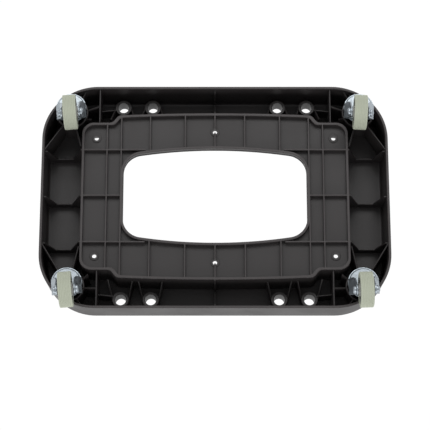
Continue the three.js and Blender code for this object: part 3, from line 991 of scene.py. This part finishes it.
@dataclass
class Castor:
    """One swivel castor, made about its own swivel axis and set down where the frame has it."""

    name: str
    wheel_radius: float = 20.0
    tyre_half: float = 7.5
    trail: float = 15.5
    head_radius: float = 4.4
    head_start: float = 11.3
    head_end: float = 15.5
    groove: Point2 = (1.75, 0.35)
    steps: int = 72

    def __post_init__(self) -> None:
        """Read the castor's place from its two joints."""
        joints = {joint["name"]: joint for joint in frame["joints"]}
        swivel, roll = joints[f"swivel_{self.name}"], joints[f"roll_{self.name}"]
        turn = math.atan2(roll["axis"][1], roll["axis"][0])
        x, y, _ = swivel["pos_m"]
        self.place = Matrix.Translation((x, y, 0)) @ Matrix.Rotation(turn, 4, "Z")
        lift = Matrix.Translation((0, -self.trail * MM, self.wheel_radius * MM))
        self.on_axle = lift @ Matrix.Rotation(math.pi / 2, 4, "Y")
        self.axle_place = self.place @ self.on_axle

    def tyre(self) -> Solid:
        """Tyre with small shoulders and fine grooves round its tread."""
        r, half, inner = self.wheel_radius, self.tyre_half, 15.9
        side = [(inner, -half), (r - 1.3, -half), (r - 0.35, -half + 0.35), (r, -half + 1.3)]
        pitch, depth = self.groove
        grooves = []
        for middle in (k * pitch for k in range(-3, 4)):
            grooves += [(r, middle - 0.45), (r - depth, middle), (r, middle + 0.45)]
        shoulder = [*eased([*side, (r, -6)], 0.6, 4, closed=False)[:-1]]
        return lathe([*shoulder, *grooves, *((x, -z) for x, z in reversed(shoulder))], self.steps)

    def core(self) -> Solid:
        """Wheel core: hub, web, rim and radial webs on both sides."""
        bore, hub, web, rim_in, rim_out = 4.9, 7.2, 1.4, 13.4, 15.6
        rim_half, hub_half = self.tyre_half - 0.6, 8.4
        half = [(bore, -hub_half), (hub, -hub_half), (hub + 0.3, -web), (rim_in - 0.3, -web),
                (rim_in, -rim_half), (rim_out, -rim_half)]
        outline = [*half, *((x, -z) for x, z in reversed(half))]
        webs = ring_of_webs(6, hub - 0.5, rim_in + 0.5, 1.2, 2 * rim_half - 2.4, Finishes.CORE)
        return lathe(eased(outline, 0.5, 3), self.steps).join(webs)

    def fork(self) -> Solid:
        """Pressed fork: domed crown, sloping shoulders and trailing legs with rounded bends."""
        inner, outer, shoulder, bend, low = 9.2, 11.0, 17.2, 33.0, 12.0
        under, top, front, rear, end_radius = 43.9, 45.5, 4.0, -14.0, 6.5
        half = [(outer, low), (outer, bend), (shoulder, under), (shoulder - 0.2, top)]
        lining = [(inner, low), (inner, bend + 0.5), (shoulder - 2.2, under)]
        section = [*half, *((-x, z) for x, z in reversed(half)), *((-x, z) for x, z in lining),
                   *reversed(lining)]
        depth = self.wheel_radius + self.trail
        rings = [[(x, y, z) for x, z in eased(section, 1.6, 4)] for y in (-depth, depth)]
        nose = arc((-self.trail, self.wheel_radius), end_radius, 200, 350, 20)
        view = [*nose, (front, under - 7), (front, top + 1), (rear, top + 1), (rear - 1, under - 4)]
        side = loft([[(x, y, z) for y, z in view] for x in (-20, 20)])
        crown = lathe([(0, under), (14.9, under), (15.5, under + 0.5), (15.5, top - 0.6), (14.9, top),
                       (0, top)], 64)
        race = lathe([(9.0, top + 1), (9.0, top - 0.1), (10.8, top - 0.7), (12.6, top - 0.1),
                      (12.6, top + 1)], 48)
        pin = lathe([(0, -20), (3.3, -20), (3.3, 20), (0, 20)], 32).turned(self.on_axle)
        post = lathe([(0, 40), (5.6, 40), (5.6, 48), (0, 48)], 32)
        fork = loft(rings).keep(side).softened(0.3, 50)
        return fork.join(crown).cut(race, pin, post)

    def cup(self) -> Solid:
        """Dished cup with a rolled rim and a raised race."""
        outline = [(5.6, 48.9), (14.4, 48.9), (16.0, 47.4), (16.0, 46.2), (17.5, 46.2), (17.5, 48.4),
                   (15.8, 50.4), (13.2, 50.4), (12.4, 50.1), (9.2, 50.1), (8.4, 50.4), (5.6, 50.4)]
        return lathe(eased(outline, 0.55, 3), self.steps)

    def stem(self) -> Solid:
        """Stem with a flange, a grip groove and a riveted head."""
        neck, radius = 5.0, 4.8
        outline = [(0, 42.2), (4.6, 42.2), (6.4, 42.9), (6.5, 43.6), (neck, 43.6), (neck, 50.7),
                   (9.0, 50.7), (9.0, 51.9), (radius, 51.9), (radius, 76.0), (radius - 0.7, 76.6),
                   (radius - 0.7, 78.4), (radius, 79.0), (radius, 83.0), (radius - 2, 85.0), (0, 85.0)]
        return lathe(eased(outline, 0.3, 2, closed=False), 40)

    def sleeve(self) -> Solid:
        """Grip sleeve with a lead-in at both ends."""
        outline = [(5.1, 52.5), (7.0, 52.5), (7.0, 88.0), (5.1, 88.0)]
        return lathe(eased(outline, 0.5, 3), 40)

    def race(self) -> Solid:
        """Balls in a thin cage ring."""
        balls = ring_of_balls(18, 10.8, 1.4, 47.2, Finishes.BALLS)
        cage = lathe(eased([(9.1, 47.0), (9.35, 47.0), (9.35, 47.5), (9.1, 47.5)], 0.1, 2), 40)
        return balls.beside(cage)

    def bush(self) -> Solid:
        """Plain bush in the wheel core."""
        outline = [(3.3, -8.8), (4.6, -8.8), (4.6, 8.8), (3.3, 8.8)]
        return lathe(eased(outline, 0.35, 3), 40)

    def _dome(self) -> list[Point2]:
        """The rounded end that the axle's head and the cap share."""
        foot = self.head_start + 1.2
        angles = [math.radians(a) for a in range(0, 90, 10)]
        return [(self.head_radius * math.cos(a), foot + (self.head_end - foot) * math.sin(a)) for a in angles]

    def axle(self) -> Solid:
        """Axle pin with a domed head."""
        head, start, end = self.head_radius, self.head_start, self.head_end
        outline = [(0, -13.1), (2.4, -13.1), (3.0, -12.5), (3.0, start), (head - 0.2, start),
                   (head, start + 0.3), *self._dome(), (0, end)]
        return lathe(outline, 40)

    def axle_cap(self) -> Solid:
        """Domed cap over the axle pin's other end."""
        head, start, end = self.head_radius, self.head_start, self.head_end
        outline = [(0, -end), *((x, -z) for x, z in reversed(self._dome())), (head, -start - 0.3),
                   (head - 0.2, -start), (3.3, -start), (3.3, -13.4), (0, -13.4)]
        return lathe(outline, 40)

    def build(self) -> None:
        """Make, dress and mount the castor's pieces."""
        swivel, wheel = f"swivel_{self.name}", f"wheel_{self.name}"
        pieces = (
            ("socket_sleeve", self.sleeve, Finishes.SLEEVE, "tray", self.place),
            ("stem", self.stem, Finishes.ZINC, "tray", self.place),
            ("swivel_cup", self.cup, Finishes.ZINC, "tray", self.place),
            ("ball_race", self.race, Finishes.BALLS, swivel, self.place),
            ("fork", self.fork, Finishes.ZINC, swivel, self.place),
            ("axle", self.axle, Finishes.ZINC, swivel, self.axle_place),
            ("axle_cap", self.axle_cap, Finishes.ZINC, swivel, self.axle_place),
            ("bush", self.bush, Finishes.BUSH, wheel, self.axle_place),
            ("wheel_core", self.core, Finishes.CORE, wheel, self.axle_place),
            ("tyre", self.tyre, Finishes.TYRE, wheel, self.axle_place),
        )
        for label, make, finish, body, place in pieces:
            node = f"{label}_{self.name}"
            finish_piece(make().turned(place), f"{node}_piece", finish, body, node)


# ---- studio


@dataclass
class Studio:
    """Pale floor, soft lights and a camera that looks up at the caddy's underside."""

    distance: float = 2.0
    pitch: float = 17.7
    lens: float = 145.2
    aim: Point3 = (0.0, -0.0141, 0.071)

    def _light(self, name: str, size: Point2, power: float, place: Point3, target: Point3) -> None:
        """Hang a soft oblong light.

        Args:
            name: The light's name.
            size: Its sides in metres.
            power: Its power in watts.
            place: Where it hangs.
            target: Where it points.
        """
        lamp = bpy.data.lights.new(name, "AREA")
        lamp.shape = "RECTANGLE"
        lamp.size, lamp.size_y = size
        lamp.energy = power
        thing = bpy.data.objects.new(name, lamp)
        thing.location = place
        thing.rotation_euler = (Vector(target) - Vector(place)).to_track_quat("-Z", "Y").to_euler()
        thing.visible_camera = False
        bpy.context.scene.collection.objects.link(thing)

    def lights(self) -> None:
        """Key from behind and below, low fill from the front and a broad light overhead."""
        self._light("rear_key", (2.8, 1.2), 36.0, (0.0, 1.6, -2.35), (0, 0, 0.07))
        self._light("front_fill", (2.4, 0.7), 22.0, (0.0, -2.3, -0.8), (0, 0, 0.05))
        self._light("overhead", (1.2, 1.2), 6.0, (0.7, 1.2, 1.9), (0, 0, 0.05))

    def floor(self) -> None:
        """A pale floor that shows only from above, so that the underside can be seen."""
        mesh = bpy.data.meshes.new("floor")
        mesh.from_pydata([(-4, -4, 0), (4, -4, 0), (4, 4, 0), (-4, 4, 0)], [], [(0, 1, 2, 3)])
        floor = bpy.data.objects.new("floor", mesh)
        bpy.context.scene.collection.objects.link(floor)
        made = bpy.data.materials.new("floor_paint")
        made.use_nodes = True
        made.node_tree.nodes.clear()
        graph = Graph(made.node_tree)
        paint = graph.node("ShaderNodeBsdfDiffuse", inputs={"Color": (0.82, 0.82, 0.81)})
        clear = graph.node("ShaderNodeBsdfTransparent")
        under = graph.node("ShaderNodeNewGeometry", out="Backfacing")
        mixed = graph.node("ShaderNodeMixShader", inputs={0: under, 1: paint, 2: clear})
        graph.node("ShaderNodeOutputMaterial", inputs={"Surface": mixed})
        mesh.materials.append(made)
        floor.visible_shadow = False
        floor.visible_diffuse = False
        floor.visible_glossy = False

    def world(self) -> None:
        """A white backdrop overhead that shows all round, over a dim room."""
        world = bpy.data.worlds.new("surroundings")
        bpy.context.scene.world = world
        world.use_nodes = True
        world.node_tree.nodes.clear()
        graph = Graph(world.node_tree)
        shown = graph.node("ShaderNodeLightPath", out="Is Camera Ray")
        where = graph.node("ShaderNodeTexCoord", out="Generated")
        height = graph.node("ShaderNodeSeparateXYZ", inputs={0: where}, out="Z")
        strength = 0.6 + height.ramp(-0.05, 0.2) * 0.4
        strength = strength + shown * (1.02 - strength)
        white = graph.node("ShaderNodeBackground", inputs={"Color": (1, 1, 1), "Strength": strength})
        graph.node("ShaderNodeOutputWorld", inputs={"Surface": white})
        bpy.context.scene.view_settings.view_transform = "Standard"

    def camera(self) -> None:
        """The camera, under the caddy and a little in front of it."""
        data = bpy.data.cameras.new("camera")
        data.lens = self.lens
        data.sensor_width = 36.0
        thing = bpy.data.objects.new("camera", data)
        tilt = math.radians(self.pitch)
        back = Vector((0, -math.sin(tilt), -math.cos(tilt)))
        thing.location = Vector(self.aim) + back * self.distance
        up, ahead = Vector((0, math.cos(tilt), -math.sin(tilt))), -back
        right = ahead.cross(up)
        turn = Matrix((right, up, -ahead)).transposed()
        thing.rotation_euler = turn.to_euler()
        bpy.context.scene.collection.objects.link(thing)
        bpy.context.scene.camera = thing

    def build(self) -> None:
        """Set up the whole studio."""
        self.camera()
        self.world()
        self.floor()
        self.lights()


def main() -> None:
    """Build the studio, the tray and the castors."""
    logging.basicConfig(level=logging.INFO, format="%(name)s: %(message)s")
    Studio().build()
    Tray().build()
    for joint in frame["joints"]:
        if joint["name"].startswith("swivel_"):
            Castor(joint["name"].removeprefix("swivel_")).build()


if __name__ == "__main__":
    main()
